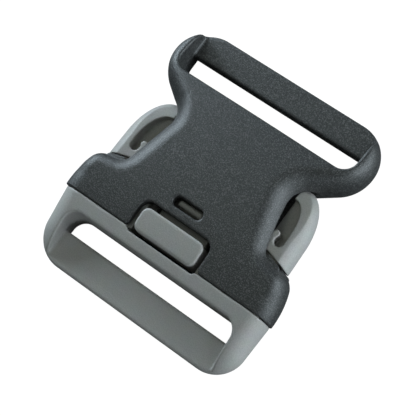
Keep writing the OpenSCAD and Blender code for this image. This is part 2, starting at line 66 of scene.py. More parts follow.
# the hollow
FLOOR_T, HOLLOW_H, HOLLOW_LEN = 2.4, 9.95, 35.0
MOUTH_W, MOUTH_LEN, LATCH_W, LATCH_WALL_LEN = 61.8, 5.0, 54.6, 3.5
# the loop
LOOP_W, LOOP_END_R, LOOP_NECK_R = 64.3, 10.0, 11.5
LOOP_SLOT_W, LOOP_SLOT_GAP, LOOP_BAR_D = 56.0, 6.6, 8.3
LOOP_ROUND, LOOP_END_ROUND = 4.1, 2.2
# both strap bars and slots
BAR_TOP, BAR_BOTTOM, BAR_EDGE_R, SLOT_CORNER_R = 5.8, 1.6, 0.9, 4.0
# the plug's frame
FRAME_W, FRAME_TAPER, FRAME_CORNER_R, FRAME_ROUND = 66.1, 0.6, 9.0, 5.3
FRAME_SLOT_W, FRAME_SLOT_GAP, FRAME_BAR_D = 54.7, 5.3, 9.4
# the plug's tongue, rails and web
TONGUE_LEN, RAIL_T, RAIL_LEN, WEB_T = 2.4, 2.3, 27.2, 3.0
# the prongs' heads
PRONG_W, PRONG_INNER, PRONG_LEN, TIP_CURVE_LEN, TIP_X = 58.7, 19.7, 34.4, 14.2, 21.5
PRONG_ROUND, PRONG_TIP_ROUND, PRONG_TAPER_LEN = 3.1, 1.2, 6.0
PRONG_SIDE_A = math.radians(52)
# on a head's inner side: the bevel's width, start and end before the tip, and the slope
# from the arm, from before the latch face to behind it
HEAD_BEVEL, HEAD_BEVEL_START, HEAD_BEVEL_END = 0.5, 1.5, 0.5
SLOPE_START, SLOPE_END = 1.5, 2.5
# the prongs' arms and round roots
ARM_W, ARM_START, ARM_DROP, ARM_FOOT, ROOT_X, ROOT_R = 4.0, 6.0, 1.4, 0.5, 24.4, 2.0
# the heads' pockets, and the rounded finger beside each, whose place is given in shares
# of its own radius and of the pocket's end's
POCKET_DEPTH, POCKET_RIM, POCKET_FAR_RIM = 3.8, 4.6, 4.2
POCKET_END_R, POCKET_START, POCKET_FAR_IN, POCKET_OPEN = 1.35, 0.8, 1.5, 1.0
FINGER_R, FINGER_IN, FINGER_UP = 0.95, 0.6, 1.1
# the push button, its notch in the roof and the one in the crossbar
BUTTON_W, BUTTON_LEN, BUTTON_RISE, BUTTON_R = 19.4, 6.8, 0.3, 2.0
NOTCH_W, NOTCH_LEN, NOTCH_R, CROSSBAR_NOTCH = 22.4, 8.4, 3.0, 0.8
NOTCH_FLARE, NOTCH_FLARE_SLOPE = 0.5, 0.5
# the lever, its nub and the short slot over it
LEVER_W, LEVER_LEN, LEVER_ROOT_R = 15.4, 23.8, 1.5
NUB_Y, NUB_W, NUB_T, NUB_TOP, NUB_SLOT_W, NUB_SLOT_D = 12.5, 7.6, 1.7, 13.3, 9.2, 3.0
# running gaps, and the one round a root in its seat
FIT, ROOT_FIT = 0.35, 0.2

# Radii of the small edges, in mm
SEAM_EDGE, LIP_EDGE, HOLLOW_EDGE = 0.12, 0.15, 0.32
LOOP_SLOT_EDGE, FRAME_SLOT_EDGE = 0.8, 0.5
CUT_EDGE, SMALL_EDGE, HOLLOW_CORNER_R = 0.25, 0.2, 0.3
HEAD_EDGE, HEAD_FACE_EDGE = 0.22, 0.08
BUTTON_EDGE, LEVER_FILLET, NUB_FILLET, NUB_CORNER_R = 0.8, 0.4, 0.3, 0.3

# How far helpers reach, in mm: past everything, past open ends, into what they join,
# under the roof, and by a hair
FAR, PAST_SEAM, PAST_BAR, PAST_START, PAST_FACE = 60.0, 10.0, 6.0, 5.0, 3.0
INTO_FRAME, INTO_BLOCK, INTO_RAIL, UNDER_ROOF, HAIR = 2.0, 2.0, 1.0, 1.0, 0.01

# Places that follow from the sizes
TOTAL_LEN = SOCKET_LEN + SEAM_GAP + FRAME_LEN
FAR_Y, FRONT_Y = TOTAL_LEN / 2, -TOTAL_LEN / 2
SEAM_Y = FAR_Y - SOCKET_LEN
FRAME_Y = SEAM_Y - SEAM_GAP
ROOF_Z = FLOOR_T + HOLLOW_H
INNER_BOTTOM, INNER_TOP = FLOOR_T + FIT, ROOF_Z - FIT
INNER_MID = (INNER_BOTTOM + INNER_TOP) / 2
# heights of the widest line round the shoulders, the loop and both ends of the frame
SHOULDER_MID, LOOP_MID = 0.48 * ARCH_H, 0.375 * ARCH_H
FRAME_MID, FRAME_END_MID = 0.43 * ARCH_H, 0.26 * ARCH_H
LATCH_Y = SEAM_Y + SHOULDER_LEN
LATCH_GAP = FIT / math.cos(math.radians(RIM_LEAN))
TIP_Y = SEAM_Y + PRONG_LEN
TIP_C = (TIP_X, TIP_Y - TIP_CURVE_LEN)
TIP_RUN = 1.3 * TIP_CURVE_LEN
ROOT_Y = SEAM_Y + TONGUE_LEN + FIT
ARM_OUTER = LATCH_W / 2 - 3 * FIT
HINGE_Y = SEAM_Y + LEVER_LEN
RAIL_X = BUTTON_W / 2 + 1.5 * FIT
GUIDE_X = LEVER_W / 2 + 3 * FIT
LEVER_BOTTOM, LEVER_TOP = INNER_MID - LEVER_ROOT_R, INNER_MID + LEVER_ROOT_R

# Mesh making: the grids' steps, the margin round a piece and the socket's share of faces
FINE = 0.3
FINER = 0.2
MARGIN = 1.0
SOCKET_KEEP = 0.62


# Outlines in plan
def turn(degrees):
    a = math.radians(degrees)
    return np.array([math.cos(a), math.sin(a)])


def arc(centre, r, a0, a1, n):
    """Points of an arc in n steps, angles in degrees."""
    return [np.array(centre) + r * turn(a0 + (a1 - a0) * i / n) for i in range(n + 1)]


def quarter_oval(centre, w, l, n):
    """n points of a quarter ellipse, from its side round to its tip."""
    return [(centre[0] + w * math.cos(t), centre[1] + l * math.sin(t))
            for t in np.linspace(0, math.pi / 2, n)]


def socket_points():
    """The right half of the socket's outline, closed far to the left, with the rim's
    outer end and the corner where rim and waist would meet."""
    lean, tan_lean = math.radians(RIM_LEAN), math.tan(math.radians(RIM_LEAN))
    side_c = np.array([SHOULDER_W / 2 - SHOULDER_SIDE_R, SEAM_Y + SHOULDER_SIDE_Y])
    rise = SEAM_Y + SHOULDER_LEN - SHOULDER_CORNER_R - side_c[1]
    corner_a = math.degrees(math.asin(rise / (SHOULDER_SIDE_R - SHOULDER_CORNER_R)))
    corner_c = side_c + (SHOULDER_SIDE_R - SHOULDER_CORNER_R) * turn(corner_a)
    loop_c = np.array([LOOP_W / 2 - LOOP_NECK_R, FAR_Y - LOOP_END_R])
    end_c = np.array([LOOP_W / 2 - LOOP_END_R, loop_c[1]])
    neck_x = NECK_W / 2 + NECK_R
    radii = LOOP_NECK_R + NECK_R
    drop = math.sqrt(radii ** 2 + FLARE_LEN ** 2 - (neck_x - loop_c[0]) ** 2)
    neck_c = np.array([neck_x, loop_c[1] - drop])
    to_loop = loop_c - neck_c
    neck_a = math.degrees(math.atan2(to_loop[1], to_loop[0]) + math.atan(FLARE_LEN / radii))
    # where the rim's line and the waist's line cross
    rim_p = corner_c + SHOULDER_CORNER_R * np.array([math.sin(lean), math.cos(lean)])
    neck_p = neck_c - NECK_R * turn(NECK_LEAN)
    steep = 1 / math.tan(math.radians(NECK_LEAN))
    wx = (rim_p[1] + rim_p[0] * tan_lean - neck_p[1] - neck_p[0] * steep) / (tan_lean - steep)
    window_p = np.array([wx, rim_p[1] + (rim_p[0] - wx) * tan_lean])
    half_turn = math.tan(math.radians(90 - RIM_LEAN - NECK_LEAN) / 2)
    fillet_c = (window_p + RIM_FILLET_R * half_turn * np.array([math.cos(lean), -math.sin(lean)])
                + RIM_FILLET_R * np.array([math.sin(lean), math.cos(lean)]))
    points = [(SHOULDER_W / 2, SEAM_Y - FAR)]
    points += arc(side_c, SHOULDER_SIDE_R, 0, corner_a, 24)
    points += arc(corner_c, SHOULDER_CORNER_R, corner_a, 90 - RIM_LEAN, 24)
    points += arc(fillet_c, RIM_FILLET_R, 270 - RIM_LEAN, 180 + NECK_LEAN, 14)
    points += arc(neck_c, NECK_R, 180 + NECK_LEAN, neck_a, 36)
    points += arc(loop_c, LOOP_NECK_R, neck_a - 180, 0, 36)
    points += arc(end_c, LOOP_END_R, 0, 90, 30)[1:]
    points += [(-FAR, FAR_Y), (-FAR, SEAM_Y - FAR)]
    return points, rim_p, window_p


SOCKET_POINTS, RIM_P, WINDOW_P = socket_points()


def rim_y(x, past=0.0):
    """Where the rim's line lies at x, or past it towards the loop."""
    return RIM_P[1] + (RIM_P[0] - x) * math.tan(math.radians(RIM_LEAN)) + past


def frame_points():
    """The right half of the frame's outline, closed far to the left and behind."""
    centre = [FRAME_W / 2 - FRAME_TAPER - FRAME_CORNER_R, FRONT_Y + FRAME_CORNER_R]
    return ([(-FAR, FRONT_Y)] + arc(centre, FRAME_CORNER_R, -90, 0, 30)
            + [(FRAME_W / 2, FRAME_Y), (FRAME_W / 2, FRAME_Y + FAR), (-FAR, FRAME_Y + FAR)])


# Fields
def flat_field(points, x, y):
    """Signed distance to a closed outline in plan, and the nearest point's y."""
    best = np.full(x.shape, 1e9)
    near = np.zeros(x.shape)
    inside = np.zeros(x.shape, bool)
    for a, b in zip(points, points[1:] + points[:1]):
        e = np.asarray(b, float) - a
        size = float(e @ e)
        if size < 1e-12:
            continue
        t = np.clip(((x - a[0]) * e[0] + (y - a[1]) * e[1]) / size, 0, 1)
        d = (x - a[0] - t * e[0]) ** 2 + (y - a[1] - t * e[1]) ** 2
        nearer = d < best
        best = np.where(nearer, d, best)
        near = np.where(nearer, a[1] + t * e[1], near)
        if e[1]:
            inside ^= ((a[1] > y) != (b[1] > y)) & (x < e[0] * (y - a[1]) / e[1] + a[0])
    return np.where(inside, -1, 1) * np.sqrt(best), near


def plan(x, y):
    """The grid's places in plan."""
    return np.broadcast_arrays(x[:, :, 0], y[:, :, 0])


def upright(points, x, y):
    """The upright body over a closed outline."""
    return flat_field(points, *plan(x, y))[0][:, :, None]


def box_field(x, y, x0, x1, y0, y1, r=0.0):
    """Signed distance to a rectangle with corners of radius r."""
    qx = np.abs(x - (x0 + x1) / 2) - (x1 - x0) / 2 + r
    qy = np.abs(y - (y0 + y1) / 2) - (y1 - y0) / 2 + r
    return np.hypot(np.maximum(qx, 0), np.maximum(qy, 0)) + np.minimum(np.maximum(qx, qy), 0) - r


def slab(z, z0, z1):
    return np.abs(z - (z0 + z1) / 2) - (z1 - z0) / 2


def both(a, b, r=0.0):
    """What lies in a and in b, with an edge of radius r."""
    if r <= 0:
        return np.maximum(a, b)
    return (np.minimum(-r, np.maximum(a, b))
            + np.hypot(np.maximum(r + a, 0), np.maximum(r + b, 0)))


def either(a, b, r=0.0):
    """What lies in a or in b, with a hollow fillet of radius r."""
    return -both(-a, -b, r)


def less(a, b, r=0.0):
    """a without b, with an edge of radius r."""
    return both(a, -b, r)


def oval(a, b, reach, tall):
    """Inside an ellipse. a and b are shares of its half axes, reach and tall."""
    a, b = np.maximum(a, 0), np.maximum(b, 1e-3)
    h = np.hypot(a, b)
    return (h - 1) * h / np.hypot(a / reach, b / tall)


def along(y, rows):
    """The value at y between rows of a place and its value."""
    return np.interp(y, *zip(*rows))


def arch_at(x, y):
    return (ARCH_H - ARCH_R + np.sqrt(ARCH_R ** 2 - (y - SEAM_Y - ARCH_Y) ** 2)
            - x * x / (2 * CROWN_R))


def rounded_body(outline, mid, high, low, x, y, z):
    """The arched body inside an outline. Its sides round off over high above mid and over
    low below it."""
    up = z >= mid
    reach = np.where(up, high, low)
    tall = np.where(up, arch_at(x, y) - mid, mid)
    return oval(1 + outline[:, :, None] / reach, np.abs(z - mid) / tall, reach, tall)


def strap_field(ax, y, z, w, gap, bar_d, y0, way):
    """A strap slot from y0 outwards, and the space over and under its bar."""
    v = way * (y - y0)
    end = gap + bar_d + PAST_BAR
    across = box_field(ax, v, -w / 2, w / 2, 0, end + SLOT_CORNER_R, SLOT_CORNER_R)
    bar = box_field(v, z, gap, gap + bar_d + 2 * PAST_BAR, BAR_BOTTOM, BAR_TOP, BAR_EDGE_R)
    return less(across, bar, BAR_EDGE_R)


# The socket
def socket_body(x, y, z):
    """The arched block inside the socket's outline."""
    outline, near = flat_field(SOCKET_POINTS, *plan(np.abs(x), y))
    d = near - SEAM_Y
    loop_end, bar_end = SOCKET_LEN - LOOP_END_R, SOCKET_LEN - 1
    corner_round = min(SHOULDER_ROUND, SHOULDER_CORNER_R - 0.5)
    mid = along(d, [
        (0.6 * SHOULDER_LEN, SHOULDER_MID),
        (0.6 * HOLLOW_LEN, (SHOULDER_MID + LOOP_MID) / 2),
        (HOLLOW_LEN, LOOP_MID),
        (loop_end, LOOP_MID),
        (bar_end, BAR_TOP - BAR_EDGE_R)])
    high = along(d, [
        (0.4 * SHOULDER_LEN, SHOULDER_ROUND),
        (0.6 * SHOULDER_LEN, corner_round),
        (SHOULDER_LEN, corner_round),
        (SHOULDER_LEN + 3, NECK_ROUND),
        (HOLLOW_LEN - 5, NECK_ROUND),
        (HOLLOW_LEN + 7, LOOP_ROUND),
        (loop_end, LOOP_ROUND),
        (bar_end, LOOP_END_ROUND)])
    low = along(d, [(SHOULDER_LEN, LOW_ROUND), (HOLLOW_LEN, LOOP_LOW_ROUND)])
    body = rounded_body(outline, mid[:, :, None], high[:, :, None], low[:, :, None], x, y, z)
    return both(body, SEAM_Y - y, SEAM_EDGE)


def roof_lip(ax, y, z):
    """The thin lip behind the rim, in the roof."""
    x0, x1 = WINDOW_P[0] - LIP_START, RIM_P[0] - LIP_SHORT
    x2 = x1 - LIP_BEVEL
    lip = upright([(x0, rim_y(x0, -LIP_ROOT)), (x1, rim_y(x1, -LIP_ROOT)),
                   (x1, rim_y(x1, -LIP_BEVEL)), (x2, rim_y(x2, -LIP_BACK)),
                   (x0, rim_y(x0, -LIP_BACK))], ax, y)
    return both(lip, slab(z, ROOF_Z - LIP_DEPTH, ROOF_Z + LIP_T), LIP_EDGE)


def floor_lip(ax, y, z):
    """The floor's edge behind the rim, under the prong."""
    x0, x1 = WINDOW_P[0] - LIP_START, RIM_P[0] + FLOOR_LIP_LONG
    lip = upright([(x0, rim_y(x0, -LIP_ROOT)), (x1, rim_y(x1, -LIP_ROOT)),
                   (x1, rim_y(x1, FLOOR_LIP / 3)), (x1 - FLOOR_LIP_BEVEL, rim_y(x1, FLOOR_LIP)),
                   (x0, rim_y(x0, FLOOR_LIP))], ax, y)
    return both(lip, slab(z, FLOOR_T - FLOOR_LIP_T, FLOOR_T), LIP_EDGE)


def hollow_field(ax, y, z):
    """The socket's hollow, which draws in towards the prongs' tips."""
    end, half = SEAM_Y + HOLLOW_LEN, HOLLOW_H / 2
    run = TIP_RUN + end - TIP_Y
    rise = np.abs(z - INNER_MID)
    ends = oval((y - (end - run)) / run, rise / half, run, half)
    rails_x = RAIL_X + RAIL_T + FIT
    rails = both(box_field(ax, y, -rails_x, rails_x, SEAM_Y - FAR, SEAM_Y + RAIL_LEN + FIT,
                           HOLLOW_CORNER_R), rise - half)
    sides = upright([(MOUTH_W / 2, SEAM_Y - FAR), (MOUTH_W / 2, SEAM_Y + MOUTH_LEN),
                     (LATCH_W / 2, LATCH_Y - LATCH_WALL_LEN), (LATCH_W / 2, LATCH_Y),
                     (FAR, LATCH_Y), (FAR, end + FAR), (-FAR, end + FAR),
                     (-FAR, SEAM_Y - FAR)], ax, y)
    return both(either(ends, rails), sides)


def socket_field(x, y, z):
    ax = np.abs(x)
    body = socket_body(x, y, z)
    body = either(body, roof_lip(ax, y, z))
    body = either(body, floor_lip(ax, y, z))
    body = less(body, hollow_field(ax, y, z), HOLLOW_EDGE)
    body = less(body, strap_field(ax, y, z, LOOP_SLOT_W, LOOP_SLOT_GAP, LOOP_BAR_D,
                                  FAR_Y - LOOP_BAR_D - LOOP_SLOT_GAP, 1), LOOP_SLOT_EDGE)
    # the button's notch, which flares out at the seam, and the short slot
    in_roof = ROOF_Z - UNDER_ROOF - z
    notch = box_field(ax, y, -NOTCH_W / 2, NOTCH_W / 2, SEAM_Y - PAST_SEAM,
                      SEAM_Y + NOTCH_LEN, NOTCH_R)
    flare = ((ax - NOTCH_W / 2 - NOTCH_FLARE + (y - SEAM_Y) * NOTCH_FLARE_SLOPE)
             / math.hypot(1, NOTCH_FLARE_SLOPE))
    notch = either(notch, both(flare, y - SEAM_Y - NOTCH_FLARE / NOTCH_FLARE_SLOPE))
    body = less(body, both(notch, in_roof), CUT_EDGE)
    slot = box_field(ax, y - SEAM_Y - NUB_Y + FIT, -NUB_SLOT_W / 2, NUB_SLOT_W / 2,
                     -NUB_SLOT_D / 2, NUB_SLOT_D / 2, NUB_SLOT_D / 2 - HAIR)
    return less(body, both(slot, in_roof), SMALL_EDGE)


# The plug
def inner_plug(ax, y, z):
    """What the plug has inside the socket: tongue, rails, web, and ledges beside the lever."""
    back = SEAM_Y + RAIL_LEN
    tongue = box_field(ax, y, RAIL_X, MOUTH_W / 2 - FIT, FRAME_Y - INTO_FRAME,
                       SEAM_Y + TONGUE_LEN, SMALL_EDGE)
    rail = box_field(ax, y, RAIL_X, RAIL_X + RAIL_T, FRAME_Y - INTO_FRAME, back, SMALL_EDGE)
    web = box_field(ax, y, -RAIL_X - RAIL_T, RAIL_X + RAIL_T, back - WEB_T, back, SMALL_EDGE)
    inner = both(either(either(tongue, rail), web), slab(z, INNER_BOTTOM, INNER_TOP), CUT_EDGE)
    ledge = box_field(ax, y, GUIDE_X, RAIL_X + INTO_RAIL, SEAM_Y + BUTTON_LEN + 2 * FIT,
                      back - INTO_RAIL)
    return either(inner, both(ledge, slab(z, INNER_BOTTOM, LEVER_TOP), SMALL_EDGE))


def plug_field(x, y, z):
    ax = np.abs(x)
    outline, near = flat_field(frame_points(), *plan(ax, y))
    mid = along(near, [(FRONT_Y, FRAME_END_MID), (FRAME_Y, FRAME_MID)])
    body = rounded_body(outline, mid[:, :, None], FRAME_ROUND, LOW_ROUND, x, y, z)
    body = both(body, y - FRAME_Y, SEAM_EDGE)
    body = less(body, strap_field(ax, y, z, FRAME_SLOT_W, FRAME_SLOT_GAP, FRAME_BAR_D,
                                  FRONT_Y + FRAME_BAR_D + FRAME_SLOT_GAP, -1), FRAME_SLOT_EDGE)
    body = either(body, inner_plug(ax, y, z))
    # the crossbar's notch has sloping ends
    deep = y - FRAME_Y + CROSSBAR_NOTCH
    ends = (ax - RAIL_X - np.where(y < FRAME_Y, deep, 0)) * math.sqrt(0.5)
    notch = both(both(ends, np.maximum(-deep, y - FRAME_Y - PAST_FACE)), INNER_BOTTOM - z)
    body = less(body, notch, CUT_EDGE)
    # the seats of the prongs' roots and of the lever's
    body = less(body, np.hypot(ax - ROOT_X, y - ROOT_Y) - ROOT_R - ROOT_FIT)
    lever = both(np.hypot(y - HINGE_Y, z - INNER_MID) - LEVER_ROOT_R - ROOT_FIT, ax - GUIDE_X)
    return less(body, lever)


# The prongs
def prong_body(x, y, z):
    """The prong's rounded side and its tip, before its plan is cut out."""
    start_y = SEAM_Y - PAST_START
    bound = [(PRONG_W / 2, start_y), (PRONG_W / 2, TIP_C[1] - PRONG_TAPER_LEN)]
    bound += quarter_oval(TIP_C, PRONG_W / 2 - 0.5 * FIT - TIP_X, TIP_CURVE_LEN, 50)
    bound += [(-FAR, TIP_Y), (-FAR, start_y)]
    outline, near = flat_field(bound, *plan(x, y))
    full, rise = INNER_TOP - INNER_MID, np.abs(z - INNER_MID)
    u = np.clip((y - TIP_Y + TIP_RUN) / TIP_RUN, 0, 0.9995)
    half = full * np.sqrt(1 - u * u)
    edge = along(near, [(TIP_C[1] + 1, PRONG_ROUND), (TIP_Y, PRONG_TIP_ROUND)])[:, :, None]
    reach = edge / (1 - math.cos(PRONG_SIDE_A))
    bulge = half / math.sin(PRONG_SIDE_A)
    side = oval(1 + outline[:, :, None] / reach, rise / bulge, reach, bulge)
    slope = 1 / np.sqrt(1 + (u / np.sqrt(1 - u * u) * full / TIP_RUN) ** 2)
    return both(side, (rise - half) * slope, HEAD_FACE_EDGE)


def prong_plan(x, y):
    """The slim arm from its round root, and the head with its leaning latch face."""
    arm_inner, arm_y = ARM_OUTER - ARM_W, SEAM_Y + ARM_START
    far_x, tip_in = PRONG_W / 2 + PAST_FACE, PRONG_INNER + HEAD_BEVEL
    arm_and_head = upright([
        (ROOT_X + ROOT_R - FIT, ROOT_Y + ARM_FOOT), (ARM_OUTER, arm_y),
        (ARM_OUTER, rim_y(ARM_OUTER, LATCH_GAP)), (far_x, rim_y(far_x, LATCH_GAP)),
        (far_x, TIP_Y + PAST_FACE), (tip_in, TIP_Y + PAST_FACE),
        (tip_in, TIP_Y - HEAD_BEVEL_END), (PRONG_INNER, TIP_Y - HEAD_BEVEL_START),
        (PRONG_INNER, LATCH_Y + SLOPE_END), (arm_inner, LATCH_Y - SLOPE_START),
        (arm_inner, arm_y), (ROOT_X - ROOT_R + FIT, ROOT_Y + ARM_FOOT)], x, y)
    return either(arm_and_head, np.hypot(x - ROOT_X, y - ROOT_Y) - ROOT_R)


def before_latch(x, y):
    """Everything from the seam to just before the latch face."""
    far_x, arm_inner = PRONG_W / 2 + PAST_FACE, ARM_OUTER - ARM_W
    return upright([(0, SEAM_Y), (far_x, SEAM_Y), (far_x, rim_y(far_x, LATCH_GAP) - 2 * HAIR),
                    (arm_inner, rim_y(arm_inner, LATCH_GAP) - 2 * HAIR), (0, LATCH_Y)], x, y)


def pocket_plan(x, y):
    """The pocket, open to the middle, round the finger that stands in it."""
    pocket_x = PRONG_W / 2 - POCKET_RIM
    end_c = (pocket_x - POCKET_END_R, rim_y(PRONG_W / 2, LATCH_GAP) + POCKET_RIM + POCKET_START)
    far_c = (TIP_X - POCKET_FAR_IN, TIP_C[1])
    far_l = TIP_CURVE_LEN - POCKET_FAR_RIM
    open_x, left_x = PRONG_INNER - POCKET_OPEN, end_c[0] - POCKET_END_R
    finger_c = (left_x - FINGER_IN * FINGER_R, end_c[1] + FINGER_UP * POCKET_END_R)
    shape = [(open_x, finger_c[1]), (left_x, finger_c[1])]
    shape += arc(end_c, POCKET_END_R, 180, 360, 24)
    shape += quarter_oval(far_c, pocket_x - far_c[0], far_l, 40)
    shape += [(open_x, far_c[1] + far_l)]
    finger = np.hypot(x - finger_c[0], y - finger_c[1]) - FINGER_R
    return less(upright(shape, x, y), finger, CUT_EDGE)


def prong_field(x, y, z):
    """The right prong."""
    body = both(prong_body(x, y, z), prong_plan(x, y), HEAD_EDGE)
    # the arm lies lower than the head
    body = less(body, both(before_latch(x, y), INNER_TOP - ARM_DROP - z), SEAM_EDGE)
    # the pocket in each face
    pocket = pocket_plan(x, y)
    for deep in (INNER_TOP - POCKET_DEPTH - z, z - INNER_BOTTOM - POCKET_DEPTH):
        body = less(body, both(pocket, deep, CUT_EDGE), CUT_EDGE)
    return body


# The button
def button_field(x, y, z):
    block = box_field(x, y, -BUTTON_W / 2, BUTTON_W / 2, SEAM_Y, SEAM_Y + BUTTON_LEN, BUTTON_R)
    block = both(block, z - arch_at(x * 0, y) - BUTTON_RISE, BUTTON_EDGE)
    block = both(block, LEVER_BOTTOM - z, SMALL_EDGE)
    lever = box_field(x, y, -LEVER_W / 2, LEVER_W / 2, SEAM_Y + INTO_BLOCK, HINGE_Y)
    lever = both(lever, slab(z, LEVER_BOTTOM, LEVER_BOTTOM + 2 * LEVER_ROOT_R), SMALL_EDGE)
    root = both(np.hypot(y - HINGE_Y, z - INNER_MID) - LEVER_ROOT_R, np.abs(x) - LEVER_W / 2)
    nub = box_field(x, y - SEAM_Y - NUB_Y, -NUB_W / 2, NUB_W / 2, -NUB_T / 2, NUB_T / 2,
                    NUB_CORNER_R)
    nub = both(nub, slab(z, INNER_MID, NUB_TOP), BUTTON_EDGE)
    return either(either(either(block, lever, LEVER_FILLET), root), nub, NUB_FILLET)


# Mesh making
CORNERS = [(i, j, k) for i in (0, 1) for j in (0, 1) for k in (0, 1)]
EDGES = [(a, b) for a in range(8) for b in range(a + 1, 8)
         if sum(abs(p - q) for p, q in zip(CORNERS[a], CORNERS[b])) == 1]


def skin(values, start, step):
    """Vertices and quads of the surface where a grid's values are zero. Each cell that the
    surface crosses has one vertex, at the mean of where its edges are crossed."""
    values = np.where(values == 0, 1e-9, values)
    n = np.array(values.shape) - 1
    within = values < 0

    def corner(block, c):
        return block[c[0]:c[0] + n[0], c[1]:c[1] + n[1], c[2]:c[2] + n[2]]

    count = sum(corner(within, c).astype(np.int8) for c in CORNERS)
    cells = np.argwhere((count > 0) & (count < 8))
    at_corner = [values[tuple((cells + c).T)] for c in CORNERS]
    place = np.zeros((len(cells), 3))
    hits = np.zeros(len(cells))
    for a, b in EDGES:
        va, vb = at_corner[a], at_corner[b]
        cross = (va < 0) != (vb < 0)
        t = np.where(cross, va / np.where(cross, va - vb, 1), 0)
        for axis in range(3):
            at = CORNERS[a][axis] + t * (CORNERS[b][axis] - CORNERS[a][axis])
            place[:, axis] += np.where(cross, at, 0)
        hits += cross
    points = start + step * (cells + place / hits[:, None])

    # a quad round each grid line whose two ends lie on different sides
    index = np.full(tuple(n), -1, np.int64)
    index[tuple(cells.T)] = np.arange(len(cells))
    quads = []
    for axis in range(3):
        u, v = (axis + 1) % 3, (axis + 2) % 3
        ahead, behind = [slice(None)] * 3, [slice(None)] * 3
        ahead[axis], behind[axis] = slice(1, None), slice(None, -1)
        at = np.argwhere(within[tuple(behind)] != within[tuple(ahead)])
        at = at[(at[:, u] > 0) & (at[:, v] > 0) & (at[:, u] < n[u]) & (at[:, v] < n[v])]
        ring = []
        for du, dv in ((-1, -1), (0, -1), (0, 0), (-1, 0)):
            cell = at.copy()
            cell[:, u] += du
            cell[:, v] += dv
            ring.append(index[tuple(cell.T)])
        ring = np.stack(ring, 1)
        outward = within[tuple(at.T)]
        quads.append(np.where(outward[:, None], ring, ring[:, ::-1]))
    return points, np.concatenate(quads)


def add_object(name, data):
    obj = bpy.data.objects.new(name, data)
    bpy.context.scene.collection.objects.link(obj)
    return obj


def moulding(name, field, lo, hi, step, keep=1.0):
    """An object from a field over the box from lo to hi, thinned to keep times its faces."""
    lo, hi = [v - MARGIN for v in lo], [v + MARGIN for v in hi]
    counts = [math.ceil((h - l) / step) + 1 for l, h in zip(lo, hi)]
    start = np.array([(l + h) / 2 - step * (n - 1) / 2 for l, h, n in zip(lo, hi, counts)])
    x, y, z = (s + step * np.arange(n) for s, n in zip(start, counts))
    values = field(x[:, None, None], y[None, :, None], z[None, None, :])
    points, quads = skin(values, start, step)
    mesh = bpy.data.meshes.new(name)
    mesh.vertices.add(len(points))
    mesh.vertices.foreach_set("co", (points * MM).astype(np.float32).ravel())
    mesh.loops.add(quads.size)
    mesh.loops.foreach_set("vertex_index", quads.astype(np.int32).ravel())
    mesh.polygons.add(len(quads))
    mesh.polygons.foreach_set("loop_start", np.arange(0, quads.size, 4, dtype=np.int32))
    mesh.polygons.foreach_set("use_smooth", np.ones(len(quads), bool))
    mesh.update(calc_edges=True)
    mesh.validate()
    obj = add_object(name, mesh)
    if keep < 1:
        thin = obj.modifiers.new("thin", "DECIMATE")
        thin.ratio = keep
        done = bpy.data.meshes.new_from_object(
            obj.evaluated_get(bpy.context.evaluated_depsgraph_get()))
        obj.modifiers.clear()
        obj.data = done
        obj.data.name = name
    return obj


def mirrored(obj, name):
    """A copy of obj on the other side of x = 0."""
    mesh = obj.data.copy()
    mesh.transform(Matrix.Scale(-1, 4, (1, 0, 0)))
    mesh.flip_normals()
    return add_object(name, mesh)


# The five mouldings
socket = moulding("socket_moulding", socket_field,
                  (-SHOULDER_W / 2, SEAM_Y, 0), (SHOULDER_W / 2, FAR_Y, ARCH_H),
                  FINE, SOCKET_KEEP)
plug = moulding("plug_moulding", plug_field,
                (-FRAME_W / 2, FRONT_Y, 0), (FRAME_W / 2, SEAM_Y + RAIL_LEN, ARCH_H), FINE)
prong_right = moulding("prong_moulding_right", prong_field,
                       (ARM_OUTER - ARM_W - 3, SEAM_Y, INNER_BOTTOM),
                       (PRONG_W / 2, TIP_Y, INNER_TOP), FINER)
prong_left = mirrored(prong_right, "prong_moulding_left")
button = moulding("button_moulding", button_field,
                  (-BUTTON_W / 2, SEAM_Y, LEVER_BOTTOM),
                  (BUTTON_W / 2, HINGE_Y + LEVER_ROOT_R, ARCH_H), FINER)


